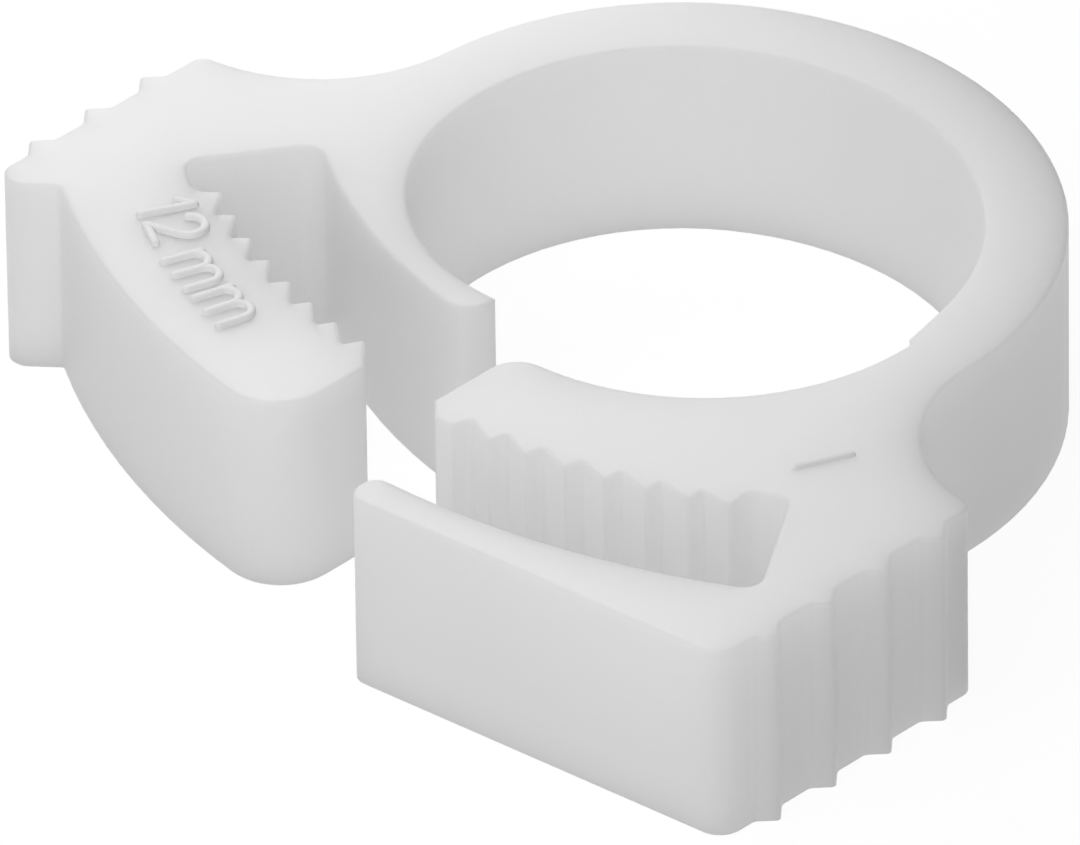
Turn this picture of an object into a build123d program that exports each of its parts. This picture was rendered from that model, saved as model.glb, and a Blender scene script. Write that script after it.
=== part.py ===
from build123d import *
import math
import os

os.makedirs("parts", exist_ok=True)

# One-piece double-jaw hose clip, moulded in nylon and shown open, as it leaves the mould.
# The clip lies flat: Z runs along the hose. The origin is the bore's centre on the lower face.
# The mouth opens towards -Y. The ring bends at its back, on the +Y side, when the jaws close.

# Driving dimensions, in millimetres and degrees

# whole clip
clip_width = 5.35               # along the hose
edge_break = 0.05               # bevel around both side faces
corner_ease = 0.08              # rounding of the teeth and the other sharp corners in plan

# ring
bore_back_depth = 6.73          # bore centre to the back of the bore
bore_back_radius = 7.5          # flatter arc at the back
bore_side_radius = 6.6          # rounder arcs at the two sides
back_half_angle = 35.0          # half the angle that the back arc covers
ring_wall = 1.95
ring_shift = 0.05               # outer face set over towards the seat, where the wall is thicker

# tongue that carries the ring's curve across the mouth, under the inner arm
tongue_curl = 1.1               # how much tighter it curves than the side of the bore
tongue_start = 10.0             # degrees past the side of the bore
tongue_end_gap = 0.87           # tongue's end to the middle of the mouth
tongue_end_wall = 0.98          # thickness at its end
tongue_end_round = 0.75

# seat in the bore wall that takes the tongue when the clip is closed
seat_depth = 0.48               # at its middle
seat_end_rise = 0.17            # how much shallower it is at its two ends
seat_flat = 12.0                # degrees of straight wall that lead up to the seat's step
seat_nose_round = 0.9

# arms and teeth: all their arcs share one centre, in the ring's back wall, where the ring bends
bend_depth = 1.57               # bore wall to the bend centre
mesh_depth = 9.7                # bore centre to the line where the two rows of teeth mesh
tooth_count = 8
tooth_pitch = 1.03              # along the mesh line
tooth_depth = 0.5
tooth_lean = 0.2                # how far the locking face leans over its depth
jaw_preload = 0.4               # how far the two rows overlap, so that the strap is sprung
inner_arm_gap = 1.0             # inner arm's end to the middle of the mouth
inner_lead_in = 0.5             # slant on the toothed corner of the inner arm's end
inner_land = 0.55               # plain stretch between that slant and the first tooth
outer_lead_in = 0.75
outer_land = 0.06
outer_arm_thickness = 3.2       # from the tooth roots to the arm's outer face
outer_arm_round = 1.5
arm_toe_in = 0.3                # how much closer the outer arm stands at the mouth than at its root

# pockets behind the teeth
inner_lobe_relief = 0.22        # how far the pocket's root is cut past the tooth roots
outer_lobe_relief = 0.12
inner_lobe_length = 1.28        # last tooth to the pocket's end, along the mesh line
outer_lobe_length = 1.47
lobe_round = 0.4
pocket_round = 0.5

# strap that backs the outer arm when the clip is closed
strap_clearance = 0.1           # to the outer arm, at the strap's root
strap_toe_in = 0.48             # how much closer the strap stands at the mouth
strap_end_gap = 2.15
strap_tip_thickness = 1.05
strap_root_thickness = 2.72     # beside the pocket's outer corner, along Y
strap_tip_round = 0.45
strap_heel_round = 0.7

# heads and their gripping ribs
head_wall = 1.25                # pocket's outer corner to the rib face
left_head_land = 1.65           # middle of the first rib to the head's back corner, along Y
right_head_land = 1.37
left_neck_radius = 4.6          # hollow between the ring and the head
right_neck_radius = 3.85
head_corner_round = 0.4
shoulder_tip_round = 0.5
rib_pitch = 1.84
rib_height = 0.4
rib_half_width = 0.45
rib_setback = 4.55              # mesh line back to the middle of the first rib, along Y
rib_tip_round = 0.1
rib_foot_round = 0.2
left_rib_land = 1.25            # plain stretch kept between the last rib and the head's front corner
right_rib_land = 0.95
shoulder_rake = 41.0            # slope of the stop face behind the outer arm
shoulder_setback = 0.42         # from the pocket's end to the foot of the stop face

LEFT = -1
RIGHT = 1

# Places worked out from the driving dimensions

back_centre = (0.0, bore_back_depth - bore_back_radius)
bend_y = bore_back_depth + bend_depth
mesh_radius = bend_y + mesh_depth
rib_depth = mesh_depth - rib_setback
left_head_back = rib_depth - left_head_land
right_head_back = rib_depth - right_head_land

pitch_angle = math.degrees(tooth_pitch / mesh_radius)
lean_angle = math.degrees(tooth_lean / mesh_radius)
half_step = (tooth_depth + jaw_preload) / 2

inner_tip_radius = mesh_radius + half_step
inner_root_radius = inner_tip_radius - tooth_depth
inner_lobe_radius = inner_root_radius - inner_lobe_relief
outer_tip_radius = mesh_radius + arm_toe_in / 2 - half_step
outer_root_radius = outer_tip_radius + tooth_depth
outer_lobe_radius = outer_root_radius + outer_lobe_relief
arm_radius = outer_root_radius + outer_arm_thickness
strap_radius = arm_radius + strap_clearance

first_tooth_x = inner_arm_gap + inner_lead_in + inner_land
first_angle = math.degrees(math.asin(first_tooth_x / inner_tip_radius))
last_angle = first_angle + (tooth_count - 1) * pitch_angle
root_angle = last_angle + lean_angle
inner_end_angle = last_angle + math.degrees(inner_lobe_length / mesh_radius)
outer_end_angle = last_angle + math.degrees(outer_lobe_length / mesh_radius)
shoulder_angle = outer_end_angle - math.degrees(shoulder_setback / arm_radius)


def swing(radius, angle, side):
    """A point at a radius from the bend centre, turned by an angle from -Y towards one side."""
    turn = math.radians(angle)
    return (side * radius * math.sin(turn), bend_y - radius * math.cos(turn))


def toed(radius, angle, side, toe_in):
    """A swing point on an arm that stands closer to the bore, little by little, towards the mouth."""
    return swing(radius - toe_in * (1 - angle / outer_end_angle), angle, side)


def swing_angle(radius, x):
    """The swing angle at which a circle about the bend centre is x away from the mouth's middle."""
    return math.degrees(math.asin(x / radius))


def around(centre, radius, angle):
    """A point on a circle, at an angle from +X."""
    turn = math.radians(angle)
    return (centre[0] + radius * math.cos(turn), centre[1] + radius * math.sin(turn))


def bearing(centre, point):
    """The angle from +X at which a point is seen from a centre."""
    return math.degrees(math.atan2(point[1] - centre[1], point[0] - centre[0]))


def arc_around(centre, radius, start, end):
    """An arc of a circle between two angles from +X."""
    middle = around(centre, radius, (start + end) / 2)
    return ThreePointArc(around(centre, radius, start), middle, around(centre, radius, end))


def arc_swing(radius, start, end, side):
    """An arc about the bend centre between two swing angles."""
    middle = swing(radius, (start + end) / 2, side)
    return ThreePointArc(swing(radius, start, side), middle, swing(radius, end, side))


def lines(points):
    """Straight edges from each point to the next."""
    return [Line(start, end) for start, end in zip(points, points[1:])]


def side_centre(side):
    """Centre of the bore's arc on one side, which is tangent to the back arc."""
    return around(back_centre, bore_back_radius - bore_side_radius, 90 - side * back_half_angle)


tongue_bore_radius = bore_side_radius - tongue_curl
tongue_centre = around(side_centre(LEFT), tongue_curl, 180 + tongue_start)
tongue_reach = math.sqrt(tongue_bore_radius**2 - (tongue_centre[0] + tongue_end_gap) ** 2)
tongue_lip = (-tongue_end_gap, tongue_centre[1] - tongue_reach)
tongue_corner = (-tongue_end_gap, tongue_lip[1] - tongue_end_wall)
tongue_radius = math.dist((0.0, bend_y), tongue_corner)

head_face = swing(strap_radius, inner_end_angle, RIGHT)[0] + head_wall
left_corner = (-head_face, -left_head_back)
right_corner = (head_face, -right_head_back)


def ring_outside(corner, neck_radius, shift):
    """Right half of the ring's outer face, then the neck, tangent to the ring and ending at the head's corner."""
    back = (back_centre[0] + shift, back_centre[1])
    ring = (side_centre(RIGHT)[0] + shift, side_centre(RIGHT)[1])
    ring_radius = bore_side_radius + ring_wall
    reach = math.dist(ring, corner)
    along = (reach**2 + (ring_radius + neck_radius) ** 2 - neck_radius**2) / (2 * reach)
    contact = bearing(ring, corner) + math.degrees(math.acos(along / (ring_radius + neck_radius)))
    neck_centre = around(ring, ring_radius + neck_radius, contact)
    back_end = 90 - back_half_angle
    return [
        arc_around(back, bore_back_radius + ring_wall, 90, back_end),
        arc_around(ring, ring_radius, back_end, contact),
        arc_around(neck_centre, neck_radius, contact + 180, bearing(neck_centre, corner) + 360),
    ]


def rib_points(side, front, land):
    """Corners of the gripping ribs on one head, from its back, as many as leave a land at its front corner."""
    count = int((-rib_depth - rib_half_width - front - land) / rib_pitch) + 1
    points = []
    for index in range(count):
        middle = -rib_depth - index * rib_pitch
        points.append((side * head_face, middle + rib_half_width))
        points.append((side * (head_face + rib_height), middle))
        points.append((side * head_face, middle - rib_half_width))
    return points


def tooth_points(tip_radius, root_radius, side, toe_in):
    """Tips and roots of one row of teeth, from the mouth to the pocket."""
    points = []
    for index in range(tooth_count):
        angle = first_angle + index * pitch_angle
        if index > 0:
            points.append(toed(root_radius, angle - pitch_angle + lean_angle, side, toe_in))
        points.append(toed(tip_radius, angle, side, toe_in))
    return points


def outer_arm():
    """Left head from its back corner: ribs, stop face, the outer arm, its teeth and the pocket's end."""
    shoulder_foot = toed(arm_radius, shoulder_angle, LEFT, arm_toe_in)
    shoulder_drop = (head_face + shoulder_foot[0]) * math.tan(math.radians(shoulder_rake))
    shoulder_tip = (-head_face, shoulder_foot[1] - shoulder_drop)
    ribs = rib_points(LEFT, shoulder_tip[1], left_rib_land)
    teeth = tooth_points(outer_tip_radius, outer_root_radius, LEFT, arm_toe_in)
    slant_top = (teeth[0][0] + outer_land, teeth[0][1])
    slant_foot = (slant_top[0] + outer_lead_in, slant_top[1] - outer_lead_in)
    arm_angle = swing_angle(arm_radius - arm_toe_in, -slant_foot[0])
    arm_corner = (slant_foot[0], toed(arm_radius, arm_angle, LEFT, arm_toe_in)[1])
    arm_middle = toed(arm_radius, (shoulder_angle + arm_angle) / 2, LEFT, arm_toe_in)
    lobe_start = swing(outer_lobe_radius, root_angle, LEFT)
    lobe_end = swing(outer_lobe_radius, outer_end_angle, LEFT)
    tongue_root = swing(tongue_radius, outer_end_angle, LEFT)
    edges = lines([left_corner] + ribs + [shoulder_tip, shoulder_foot])
    edges.append(ThreePointArc(shoulder_foot, arm_middle, arm_corner))
    edges += lines([arm_corner, slant_foot, slant_top] + teeth + [lobe_start])
    edges.append(arc_swing(outer_lobe_radius, root_angle, outer_end_angle, LEFT))
    edges.append(Line(lobe_end, tongue_root))
    rounds = [
        (head_corner_round, [left_corner]),
        (shoulder_tip_round, [shoulder_tip]),
        (rib_foot_round, ribs[0::3] + ribs[2::3]),
        (rib_tip_round, ribs[1::3]),
        (outer_arm_round, [arm_corner]),
        (corner_ease, [shoulder_foot, slant_foot] + teeth[1:]),
        (lobe_round, [lobe_start, lobe_end]),
        (pocket_round, [tongue_root]),
    ]
    return edges, rounds


def tongue_and_bore():
    """Tongue's outer face and end, then the bore's wall round to the seat and the inner arm's nose."""
    left = side_centre(LEFT)
    right = side_centre(RIGHT)
    start = 180 + tongue_start
    tongue_angle = swing_angle(tongue_radius, tongue_end_gap)
    seat_radius = bore_side_radius + seat_depth - seat_end_rise
    step_radius = bore_side_radius / math.cos(math.radians(seat_flat))
    step_top = around(right, step_radius, 0)
    step_angle = -math.degrees((seat_radius - step_radius) / seat_radius)
    step_foot = around(right, seat_radius, step_angle)
    nose = (inner_arm_gap, right[1] - math.sqrt(seat_radius**2 - (inner_arm_gap - right[0]) ** 2))
    seat_middle = around(right, bore_side_radius + seat_depth, (step_angle + bearing(right, nose)) / 2)
    edges = [
        arc_swing(tongue_radius, outer_end_angle, tongue_angle, LEFT),
        Line(tongue_corner, tongue_lip),
        arc_around(tongue_centre, tongue_bore_radius, bearing(tongue_centre, tongue_lip) + 360, start),
        arc_around(left, bore_side_radius, start, 90 + back_half_angle),
        arc_around(back_centre, bore_back_radius, 90 + back_half_angle, 90 - back_half_angle),
        arc_around(right, bore_side_radius, 90 - back_half_angle, seat_flat),
        Line(around(right, bore_side_radius, seat_flat), step_top),
        Line(step_top, step_foot),
        ThreePointArc(step_foot, seat_middle, nose),
    ]
    rounds = [
        (tongue_end_round, [tongue_corner]),
        (corner_ease, [tongue_lip, step_top, step_foot]),
        (seat_nose_round, [nose]),
    ]
    return edges, rounds, nose


def inner_arm_and_strap(nose):
    """Right head: the inner arm's end and teeth, the pocket, the strap and the ribs up to the back corner."""
    teeth = tooth_points(inner_tip_radius, inner_root_radius, RIGHT, 0.0)
    slant_angle = swing_angle(inner_tip_radius, inner_arm_gap + inner_lead_in)
    slant_top = swing(inner_tip_radius, slant_angle, RIGHT)
    slant_foot = (inner_arm_gap, slant_top[1] + inner_lead_in)
    lobe_start = swing(inner_lobe_radius, root_angle, RIGHT)
    lobe_end = swing(inner_lobe_radius, inner_end_angle, RIGHT)
    strap_root = toed(strap_radius, inner_end_angle, RIGHT, strap_toe_in)
    strap_angle = swing_angle(strap_radius - strap_toe_in, strap_end_gap)
    strap_middle = toed(strap_radius, (inner_end_angle + strap_angle) / 2, RIGHT, strap_toe_in)
    strap_tip = (strap_end_gap, toed(strap_radius, strap_angle, RIGHT, strap_toe_in)[1])
    strap_toe = (strap_end_gap, strap_tip[1] - strap_tip_thickness)
    slope = (strap_root[1] - strap_root_thickness - strap_toe[1]) / (strap_root[0] - strap_end_gap)
    heel = (head_face, strap_toe[1] + slope * (head_face - strap_end_gap))
    ribs = rib_points(RIGHT, heel[1], right_rib_land)
    edges = lines([nose, slant_foot, slant_top])
    edges.append(arc_swing(inner_tip_radius, slant_angle, first_angle, RIGHT))
    edges += lines(teeth + [lobe_start])
    edges.append(arc_swing(inner_lobe_radius, root_angle, inner_end_angle, RIGHT))
    edges.append(Line(lobe_end, strap_root))
    edges.append(ThreePointArc(strap_root, strap_middle, strap_tip))
    edges += lines([strap_tip, strap_toe, heel] + ribs[::-1] + [right_corner])
    rounds = [
        (corner_ease, [slant_foot] + teeth[1:]),
        (lobe_round, [lobe_start, lobe_end]),
        (pocket_round, [strap_root]),
        (strap_tip_round, [strap_tip, strap_toe]),
        (strap_heel_round, [heel]),
        (rib_foot_round, ribs[0::3] + ribs[2::3]),
        (rib_tip_round, ribs[1::3]),
        (head_corner_round, [right_corner]),
    ]
    return edges, rounds


def clip_profile():
    """The closed outline as a face, with its corners rounded."""
    right_side = ring_outside(right_corner, right_neck_radius, ring_shift)
    left_twin = ring_outside((head_face, -left_head_back), left_neck_radius, -ring_shift)
    left_side = [mirror(edge, about=Plane.YZ) for edge in left_twin]
    arm_edges, arm_rounds = outer_arm()
    bore_edges, bore_rounds, nose = tongue_and_bore()
    jaw_edges, jaw_rounds = inner_arm_and_strap(nose)
    face = make_face(left_side + arm_edges + bore_edges + jaw_edges + right_side).face()
    for radius, corners in arm_rounds + bore_rounds + jaw_rounds:
        vertices = face.vertices()
        face = face.fillet_2d(radius, [vertices.sort_by_distance(Vector(*corner))[0] for corner in corners])
    return face


def hose_clip():
    """The profile carried over the clip's width, with the edges of both side faces broken."""
    body = extrude(clip_profile(), amount=clip_width, dir=(0, 0, 1))
    rims = body.faces().filter_by(Axis.Z).edges()
    return chamfer(rims, edge_break)


clip = hose_clip()
clip.label = "hose_clip"
export_step(clip, "parts/hose_clip.step")
size = clip.bounding_box().size
print("clip", round(size.X, 2), "x", round(size.Y, 2), "x", round(size.Z, 2), "mm, volume", round(clip.volume, 1))
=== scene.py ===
# %% [markdown]
# # A one-piece nylon hose clip
# The real clip is a single moulding: a springy ring with two jaws of saw teeth, and no separate
# parts. The CAD model already holds that shape, so Blender's work here is its surface, the small
# raised marks on its top face and a plain studio. The shape stays a fixed frame: whatever is
# added is placed from its box, so nothing has to be fitted by eye.

# %% Load the frame
import math

import bpy
import numpy as np
from mathutils import Matrix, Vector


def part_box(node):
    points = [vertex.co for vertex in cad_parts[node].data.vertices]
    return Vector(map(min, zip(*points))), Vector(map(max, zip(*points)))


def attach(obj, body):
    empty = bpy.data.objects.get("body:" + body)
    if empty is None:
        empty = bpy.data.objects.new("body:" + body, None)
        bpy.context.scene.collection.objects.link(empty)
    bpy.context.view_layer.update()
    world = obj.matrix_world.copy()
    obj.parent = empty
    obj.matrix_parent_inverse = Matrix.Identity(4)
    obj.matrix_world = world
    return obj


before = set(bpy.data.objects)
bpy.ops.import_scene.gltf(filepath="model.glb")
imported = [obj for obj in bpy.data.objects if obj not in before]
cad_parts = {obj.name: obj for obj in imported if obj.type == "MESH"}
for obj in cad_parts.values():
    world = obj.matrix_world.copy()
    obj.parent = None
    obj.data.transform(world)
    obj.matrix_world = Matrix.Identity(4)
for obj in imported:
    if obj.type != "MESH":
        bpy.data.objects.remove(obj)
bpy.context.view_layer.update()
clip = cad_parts["hose_clip"]
low, high = (np.array(corner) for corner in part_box("hose_clip"))
TOP = high[2]
MM = 0.001
print("clip is", [round(float(side) * 1000, 2) for side in high - low], "mm")

# %% [markdown]
# ## Helpers for materials
# A material is a small net of nodes. One helper adds a node together with its settings and its
# links, so that each later line reads as one step of the finish. Colours are written as sRGB hex
# values, the way a paint chart gives them, and one function turns them into the linear values
# that a renderer works in. Typing linear values by hand would also work, but they can't be
# compared with a chart.

# %% Colour and node helpers
def linear(code):
    """sRGB hex code to a linear colour: each channel is divided by 12.92 near black, and is
    raised to the power 2.4 above it."""
    channels = np.array([int(code[i:i + 2], 16) for i in (1, 3, 5)]) / 255
    straight = channels <= 0.04045
    return [*np.where(straight, channels / 12.92, ((channels + 0.055) / 1.055) ** 2.4), 1.0]


def add(tree, kind, settings=None, **inputs):
    """Adds one node. settings are its properties; each input is a value or another node's
    output socket. An input's name has _ for a space, and a number picks a socket by its place."""
    node = tree.nodes.new(kind)
    for name, value in (settings or {}).items():
        setattr(node, name, value)
    for name, value in inputs.items():
        socket = node.inputs[int(name[1:])] if name[1:].isdigit() else node.inputs[name.replace("_", " ")]
        if isinstance(value, bpy.types.NodeSocket):
            tree.links.new(value, socket)
        else:
            socket.default_value = value
    return node


def fresh(name):
    """A new material with an empty node tree."""
    material = bpy.data.materials.new(name)
    material.use_nodes = True
    material.node_tree.nodes.clear()
    return material, material.node_tree


def looked_at(tree):
    """A socket that is 1 for camera, glossy and transmission rays, and 0 for those that gather light."""
    ray = add(tree, "ShaderNodeLightPath")
    seen = add(tree, "ShaderNodeMath", {"operation": "MAXIMUM"}, _0=ray.outputs["Is Camera Ray"],
               _1=ray.outputs["Is Glossy Ray"])
    seen = add(tree, "ShaderNodeMath", {"operation": "MAXIMUM"}, _0=seen.outputs["Value"],
               _1=ray.outputs["Is Transmission Ray"])
    return seen.outputs["Value"]


print("mid grey is", [round(c, 3) for c in linear("#808080")])

# %% [markdown]
# ## Moulded nylon 66, natural colour
# The clip is injection moulded in unfilled nylon 66. That resin is milky: light enters, scatters
# for a few millimetres and leaves again, so the narrow pockets glow instead of going dark. A
# plain diffuse white looks like chalk or plaster there. A glass-like shader with a scattering
# volume would be closer to the physics, but it is slow and noisy. So the shader is all
# subsurface scattering, over 5 mm, which is about how far light travels in natural nylon.
# The steel mould gives a satin skin, and nylon's index of refraction is 1.53.
#
# Three small patterns make it a moulding and not a smooth computer shape. Slow clouds in the
# colour come from how the resin flowed. A fine grain comes from the spark-eroded steel, which is
# 0.05 mm in reality and is drawn at 0.12 mm so that it shows. On the walls, faint lines run in
# the direction in which the part left the mould. All of them read Object coordinates, so they
# stay put when the camera moves.
#
# A moulding has no knife edges. The teeth, ribs and rims of the CAD model are eased by 0.05 to
# 0.2 mm, and light falls on the real ones as if they were a little rounder. More rounding in the
# mesh would cost many triangles for a width of a few pixels, so a bevel node softens the shading
# beside each edge instead. It takes only two samples, because the picture's own samples already
# smooth it, and more would make every render slower.

# %% Nylon material
CLOUD = 5.0 * MM        # size of the flow clouds
GRAIN = 0.12 * MM       # size of the satin grain, drawn coarser than the real one
DRAW_WIDE = 0.22 * MM   # spacing of the draw lines on the walls
DRAW_LONG = 9.0 * MM    # length of a draw line
EASE = 0.15 * MM        # radius over which an edge's shading is softened


def nylon_finish(name, pale, paler, scatter, ease):
    """Natural nylon 66: clouds between two colours, a satin grain, draw lines on the walls, edges
    softened over a radius, and scattering with the given share over 5 mm."""
    material, tree = fresh(name)
    place = add(tree, "ShaderNodeTexCoord")
    cloud = add(tree, "ShaderNodeTexNoise", Vector=place.outputs["Object"], Scale=1 / CLOUD, Detail=3.0)
    tone = add(tree, "ShaderNodeValToRGB", Fac=cloud.outputs["Fac"])
    tone.color_ramp.elements[0].position, tone.color_ramp.elements[0].color = 0.3, linear(pale)
    tone.color_ramp.elements[1].position, tone.color_ramp.elements[1].color = 0.7, linear(paler)
    grain = add(tree, "ShaderNodeTexNoise", Vector=place.outputs["Object"], Scale=1 / GRAIN, Roughness=0.6)
    satin = add(tree, "ShaderNodeMapRange", Value=grain.outputs["Fac"], From_Min=0.3, From_Max=0.7,
                To_Min=0.42, To_Max=0.52)
    stretch = add(tree, "ShaderNodeMapping", Vector=place.outputs["Object"],
                  Scale=(1 / DRAW_WIDE, 1 / DRAW_WIDE, 1 / DRAW_LONG))
    draw = add(tree, "ShaderNodeTexNoise", Vector=stretch.outputs["Vector"], Scale=1.0)
    facing = add(tree, "ShaderNodeSeparateXYZ", Vector=place.outputs["Normal"])
    flatness = add(tree, "ShaderNodeMath", {"operation": "ABSOLUTE"}, _0=facing.outputs["Z"])
    wall = add(tree, "ShaderNodeMapRange", Value=flatness.outputs["Value"], From_Min=0.3, From_Max=0.7,
               To_Min=1.0, To_Max=0.0)
    line = add(tree, "ShaderNodeMath", {"operation": "MULTIPLY"}, _0=draw.outputs["Fac"],
               _1=wall.outputs["Result"])
    eased = add(tree, "ShaderNodeBevel", {"samples": 2}, Radius=ease)
    fine = add(tree, "ShaderNodeBump", Strength=0.35, Distance=0.004 * MM, Height=grain.outputs["Fac"],
               Normal=eased.outputs["Normal"])
    lined = add(tree, "ShaderNodeBump", Strength=0.5, Distance=0.012 * MM, Height=line.outputs["Value"],
                Normal=fine.outputs["Normal"])
    shader = add(tree, "ShaderNodeBsdfPrincipled", Base_Color=tone.outputs["Color"],
                 Roughness=satin.outputs["Result"], IOR=1.53, Subsurface_Weight=scatter,
                 Subsurface_Radius=(1.0, 1.0, 1.0), Subsurface_Scale=5.0 * MM, Normal=lined.outputs["Normal"])
    add(tree, "ShaderNodeOutputMaterial", Surface=shader.outputs["BSDF"])
    return material


nylon = nylon_finish("moulded_nylon_66", "#F7F7F7", "#FBFBFB", scatter=1.0, ease=EASE)
for holder in clip.material_slots:
    holder.link = "OBJECT"
    holder.material = nylon
print("nylon on", len(clip.material_slots), "slot, with", len(nylon.node_tree.nodes), "nodes")

# %% [markdown]
# ## Raised marks
# A mould maker cuts a mark into the steel with a small ball-nosed cutter, so on the moulding it
# stands up as a low rounded ridge. A Text object would give sharp flat letters, which look stuck
# on. Here each stroke is a ridge of its own: a path in the top face's plane, and a flattened
# ellipse carried along it that shrinks to a point round each end. The ridge is sunk into the face
# by as much as it stands up, so no edge of it shows.
#
# Scattered light doesn't cross from one mesh to another, so a thin ridge with the clip's own
# nylon would come out dark. The marks have the same nylon without the scattering. A scattering
# surface loses some light on the way, so their colour is a little darker, to look the same.

# %% Ridge along a path
RISE = 0.12 * MM        # how far the size mark stands above the face
STROKE = 0.11 * MM      # half the width of its strokes
FIGURE = 1.35 * MM      # height of its figures
LETTER = 1.5 * MM       # height of the unit box that its small letters are drawn in
BAR_RISE = 0.09 * MM
BAR_HALF_WIDTH = 0.07 * MM
mark_nylon = nylon_finish("moulded_nylon_66_marks", "#ECECEC", "#F0F0F0", scatter=0.0, ease=0.0)


def ridge(path, half_width, rise, around=20, cap=7):
    """A rounded ridge as (points, faces). At each station the section is a superellipse across
    the path: half_width times the cosine sideways, rise times the sine upwards, both raised to
    the power 0.6, which flattens the top and steepens the sides. Past either end the path runs
    straight on and both radii shrink as a quarter circle, down to a pole."""
    path = np.asarray(path, float)
    step = np.diff(path, axis=0)
    along = np.vstack([step[:1], step[:-1] + step[1:], step[-1:]])
    along /= np.linalg.norm(along, axis=1)[:, None]
    bend = np.linspace(math.pi / 2, 0, cap)[:-1]
    before = path[0] - np.outer(np.sin(bend), along[0]) * half_width
    after = path[-1] + np.outer(np.sin(bend[::-1]), along[-1]) * half_width
    middle = np.vstack([before, path, after])
    ahead = np.vstack([np.tile(along[0], (cap - 1, 1)), along, np.tile(along[-1], (cap - 1, 1))])
    size = np.concatenate([np.cos(bend), np.ones(len(path)), np.cos(bend[::-1])])
    size[[0, -1]] = 0.0
    side = np.column_stack([-ahead[:, 1], ahead[:, 0]])
    turn = np.linspace(0, 2 * math.pi, around, endpoint=False)
    across, upwards = (np.sign(wave) * np.abs(wave) ** 0.6 for wave in (np.cos(turn), np.sin(turn)))
    sideways = size[:, None] * half_width * across
    up = size[:, None] * rise * upwards
    ring = middle[1:-1, None, :] + sideways[1:-1, :, None] * side[1:-1, None, :]
    points = np.concatenate([ring, TOP + up[1:-1, :, None]], axis=2).reshape(-1, 3)
    poles = np.column_stack([middle[[0, -1]], [TOP, TOP]])
    count = len(middle) - 2
    row, col = np.meshgrid(np.arange(count - 1), np.arange(around), indexing="ij")
    after_col = (col + 1) % around
    quads = np.stack([row * around + col, (row + 1) * around + col,
                      (row + 1) * around + after_col, row * around + after_col], axis=-1).reshape(-1, 4)
    here = np.arange(around)
    there = (here + 1) % around
    first, last = count * around, count * around + 1
    start = np.column_stack([np.full(around, first), here, there])
    end = np.column_stack([np.full(around, last), (count - 1) * around + there, (count - 1) * around + here])
    return np.vstack([points, poles]), quads.tolist() + start.tolist() + end.tolist()


def piece(name, ridges, material):
    """Joins ridges into one smooth mesh at the origin, riding on the clip's one body."""
    points, faces, seen = [], [], 0
    for some_points, some_faces in ridges:
        points.append(some_points)
        faces += [[index + seen for index in face] for face in some_faces]
        seen += len(some_points)
    mesh = bpy.data.meshes.new(name)
    mesh.from_pydata(np.vstack(points).tolist(), [], faces)
    mesh.polygons.foreach_set("use_smooth", np.ones(len(faces), bool))
    mesh.materials.append(material)
    made = bpy.data.objects.new(name, mesh)
    bpy.context.scene.collection.objects.link(made)
    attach(made, "root")
    return made


print("the size mark stands", RISE / MM, "mm proud of a face at", round(TOP / MM, 2), "mm")

# %% [markdown]
# ## A size in plain figures
# Clips like this are sorted by the hose they fit, so the mould usually gives the size. The marks
# here are only that, a plain size in millimetres. Each figure is drawn in a box one unit high,
# from straight strokes and arcs, then it is scaled and turned to follow the arm.

# %% Strokes of the figures
def straight(*points):
    """A straight stroke through points, cut finely so that it bends with the ridge function."""
    points = np.array(points, float)
    share = np.linspace(0, len(points) - 1, 6 * (len(points) - 1) + 1)
    return np.column_stack([np.interp(share, np.arange(len(points)), points[:, axis]) for axis in (0, 1)])


def bow(centre, radii, start, end, count=22):
    """An arc of an ellipse: centre plus the radii times the cosine and sine of the angle."""
    turn = np.radians(np.linspace(start, end, count))
    return np.column_stack([centre[0] + radii[0] * np.cos(turn), centre[1] + radii[1] * np.sin(turn)])


one = [straight((0.02, 0.74), (0.24, 1.0)), straight((0.24, 1.0), (0.24, 0.0))]
two = [np.vstack([bow((0.29, 0.7), (0.28, 0.3), 165, -32), straight((0.5, 0.5), (0.02, 0.0))[1:]]),
       straight((0.02, 0.0), (0.6, 0.0))]
em = [straight((0.0, 0.0), (0.0, 0.66))]
for left in (0.0, 0.42):
    leg = straight((left + 0.42, 0.42), (left + 0.42, 0.0))
    em.append(np.vstack([bow((left + 0.21, 0.42), (0.21, 0.24), 180, 0), leg[1:]]))


def set_out(strokes, corner, turn, height):
    """Scales strokes by the height, turns them, and puts their lower left corner at corner."""
    c, s = math.cos(math.radians(turn)), math.sin(math.radians(turn))
    turned = np.array([[c, s], [-s, c]])
    return [stroke * height @ turned + np.array(corner) for stroke in strokes]


figures = (set_out(one, (-9.62 * MM, -9.05 * MM), -27, FIGURE)
           + set_out(two, (-8.96 * MM, -9.38 * MM), -27, FIGURE)
           + set_out(em, (-7.55 * MM, -10.15 * MM), -20, LETTER)
           + set_out(em, (-5.95 * MM, -10.7 * MM), -17, LETTER))
size_mark = piece("size_mark", [ridge(stroke, STROKE, RISE) for stroke in figures], mark_nylon)
print("size mark:", len(figures), "strokes,", len(size_mark.data.polygons), "faces")

# %% [markdown]
# ## A plain bar on the other jaw
# The photograph shows one short bar, with nothing else beside it, behind the pocket of the other
# jaw. It is the same kind of cut in the mould, so it is one more ridge.

# %% Bar
bar_path = straight((9.02 * MM, -5.64 * MM), (9.62 * MM, -4.32 * MM))
bar_mark = piece("bar_mark", [ridge(bar_path, BAR_HALF_WIDTH, BAR_RISE)], mark_nylon)
print("bar mark is", round(float(np.linalg.norm(bar_path[-1] - bar_path[0])) / MM, 2), "mm long")

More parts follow.
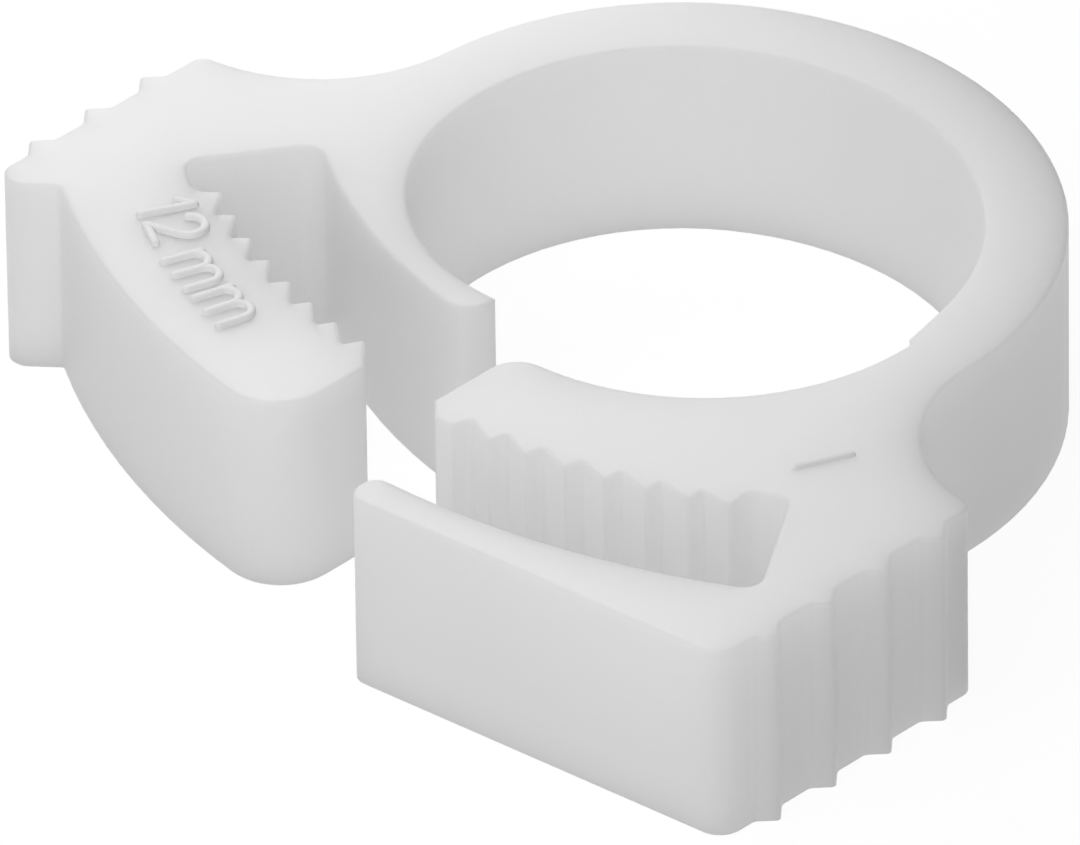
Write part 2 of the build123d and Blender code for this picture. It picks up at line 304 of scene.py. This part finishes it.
# %% [markdown]
# ## Floor and backdrop
# The photograph has a pure white surround and no shadow to speak of, and the feet of the clip's
# walls stay bright. That is how a light table looks: a matt sheet, lit a little from below. Plain
# matt paper would leave the foot of each wall dark. Turning the lamps up until the floor goes
# white would wash out the clip, which is nearly white itself. So the floor is a grey matt sheet
# with a weak glow for the light that it sends up. For the camera, a stronger glow leaves only a
# breath of the shadow. Gloss and see-through rays get the same floor as the camera, so that they
# don't show a greyer one.

# %% Floor material
sheet, tree = fresh("light_table_sheet")
matt = add(tree, "ShaderNodeBsdfDiffuse", Color=linear("#B4B4B4"))
weak = add(tree, "ShaderNodeEmission", Color=(1, 1, 1, 1), Strength=0.28)
lit = add(tree, "ShaderNodeAddShader", _0=matt.outputs["BSDF"], _1=weak.outputs["Emission"])
thin = add(tree, "ShaderNodeBsdfDiffuse", Color=linear("#5A5A5A"))
glow = add(tree, "ShaderNodeEmission", Color=(1, 1, 1, 1), Strength=0.93)
shown = add(tree, "ShaderNodeAddShader", _0=thin.outputs["BSDF"], _1=glow.outputs["Emission"])
both = add(tree, "ShaderNodeMixShader", _0=looked_at(tree), _1=lit.outputs["Shader"],
           _2=shown.outputs["Shader"])
add(tree, "ShaderNodeOutputMaterial", Surface=both.outputs["Shader"])

# %% [markdown]
# The sheet lies 0.02 mm below the clip. With both in one plane, a ray can't tell which it meets
# first, and that leaves dark spots at the foot of a wall.

# %% Floor disc
GAP = 0.02 * MM
SPOKES = 96
radius = np.array([0.05, 0.2, 0.6, 1.5, 4.0])
turn = np.linspace(0, 2 * math.pi, SPOKES, endpoint=False)
rings = np.stack([np.outer(radius, np.cos(turn)), np.outer(radius, np.sin(turn)),
                  np.full((len(radius), len(turn)), -GAP)], axis=-1).reshape(-1, 3)
row, col = np.meshgrid(np.arange(len(radius) - 1), np.arange(SPOKES), indexing="ij")
next_col = (col + 1) % SPOKES
quads = np.stack([row * SPOKES + col, (row + 1) * SPOKES + col, (row + 1) * SPOKES + next_col,
                  row * SPOKES + next_col], axis=-1).reshape(-1, 4)
spoke = np.arange(SPOKES)
hub = np.column_stack([np.full(SPOKES, len(rings)), spoke, (spoke + 1) % SPOKES])
mesh = bpy.data.meshes.new("floor")
mesh.from_pydata(np.vstack([rings, [0.0, 0.0, -GAP]]).tolist(), [], quads.tolist() + hub.tolist())
mesh.materials.append(sheet)
floor = bpy.data.objects.new("floor", mesh)
bpy.context.scene.collection.objects.link(floor)
print("floor is", 2 * radius[-1], "m across,", GAP / MM, "mm below the clip's lowest point")

# %% [markdown]
# ## Light
# A small object like this is shot inside a tent, with lamps close to it: no shade has a hard
# edge, and the side that is further from the lamps gets less light. One large distant lamp would
# be simpler, but it would light both sides alike. So there are three soft boxes 6 to 7 cm away,
# above the mouth, low in front of it and behind the left jaw. An even world adds a little fill,
# so that the faces turned away don't go dark. Together they come to the level at which a colour
# renders about as written. The boxes stand so close that they would be in the picture, so
# they are hidden from the camera. The world shows white to it, as the floor does.

# %% World and lamps
world = bpy.data.worlds.new("studio")
bpy.context.scene.world = world
world.use_nodes = True
tree = world.node_tree
tree.nodes.clear()
fill = add(tree, "ShaderNodeBackground", Color=(1, 1, 1, 1), Strength=0.2)
white = add(tree, "ShaderNodeBackground", Color=(1, 1, 1, 1), Strength=1.0)
sky = add(tree, "ShaderNodeMixShader", _0=looked_at(tree), _1=fill.outputs["Background"],
          _2=white.outputs["Background"])
add(tree, "ShaderNodeOutputWorld", Surface=sky.outputs["Shader"])


def soft_box(name, azimuth, height, distance, size, level):
    """A square lamp that faces the clip. azimuth is measured from +X towards +Y and height up
    from the floor, in degrees. level is its radiance: power is level times area times pi."""
    a, h = math.radians(azimuth), math.radians(height)
    out = np.array([math.cos(h) * math.cos(a), math.cos(h) * math.sin(a), math.sin(h)])
    side = np.array([-math.sin(a), math.cos(a), 0.0])
    lamp = bpy.data.lights.new(name, "AREA")
    lamp.shape, lamp.size = "SQUARE", size
    lamp.energy = level * size * size * math.pi
    made = bpy.data.objects.new(name, lamp)
    turned = np.eye(4)
    turned[:3, 0], turned[:3, 1], turned[:3, 2] = side, np.cross(out, side), out
    turned[:3, 3] = out * distance
    made.matrix_world = Matrix(turned.tolist())
    made.visible_camera = False
    bpy.context.scene.collection.objects.link(made)
    return made


lamps = [soft_box("above_mouth", azimuth=280, height=60, distance=0.06, size=0.05, level=1.45),
         soft_box("low_front", azimuth=295, height=25, distance=0.07, size=0.05, level=0.98),
         soft_box("behind_left_jaw", azimuth=160, height=35, distance=0.07, size=0.05, level=2.44)]
print("lamps, in mW:", [round(lamp.data.energy * 1000, 1) for lamp in lamps])

# %% [markdown]
# ## Camera
# The photograph shows almost no perspective, so the camera is far away with a very long lens.
# Its place is worked out from the angles of view: 35.6 degrees down, 45.6 degrees round from the
# mouth's side, and a roll of 0.8 degrees. Three axes are built from those angles and written
# straight into the camera's matrix, which is simpler than aiming it with a constraint.

# %% Camera
ELEVATION, AZIMUTH, ROLL = math.radians(35.6), math.radians(45.6), math.radians(0.8)
DISTANCE = 0.705
target = np.array([3.4327 * MM, -8.5170 * MM, TOP])
right = np.array([math.cos(AZIMUTH), math.sin(AZIMUTH), 0.0])
away = np.array([-math.sin(AZIMUTH), math.cos(AZIMUTH), 0.0])
upward = math.sin(ELEVATION) * away + np.array([0.0, 0.0, math.cos(ELEVATION)])
forward = math.cos(ELEVATION) * away - np.array([0.0, 0.0, math.sin(ELEVATION)])
c, s = math.cos(ROLL), math.sin(ROLL)
lens = bpy.data.cameras.new("camera")
lens.lens, lens.sensor_width, lens.sensor_fit = 1000.0, 36.0, "HORIZONTAL"
lens.clip_start, lens.clip_end = 0.01, 20.0
camera = bpy.data.objects.new("camera", lens)
pose = np.eye(4)
pose[:3, 0], pose[:3, 1], pose[:3, 2] = c * right - s * upward, s * right + c * upward, -forward
pose[:3, 3] = target - forward * DISTANCE
camera.matrix_world = Matrix(pose.tolist())
bpy.context.scene.collection.objects.link(camera)
bpy.context.scene.camera = camera
bpy.context.scene.view_settings.view_transform = "Standard"
print("camera is", round(DISTANCE * 1000), "mm away with a", lens.lens, "mm lens")
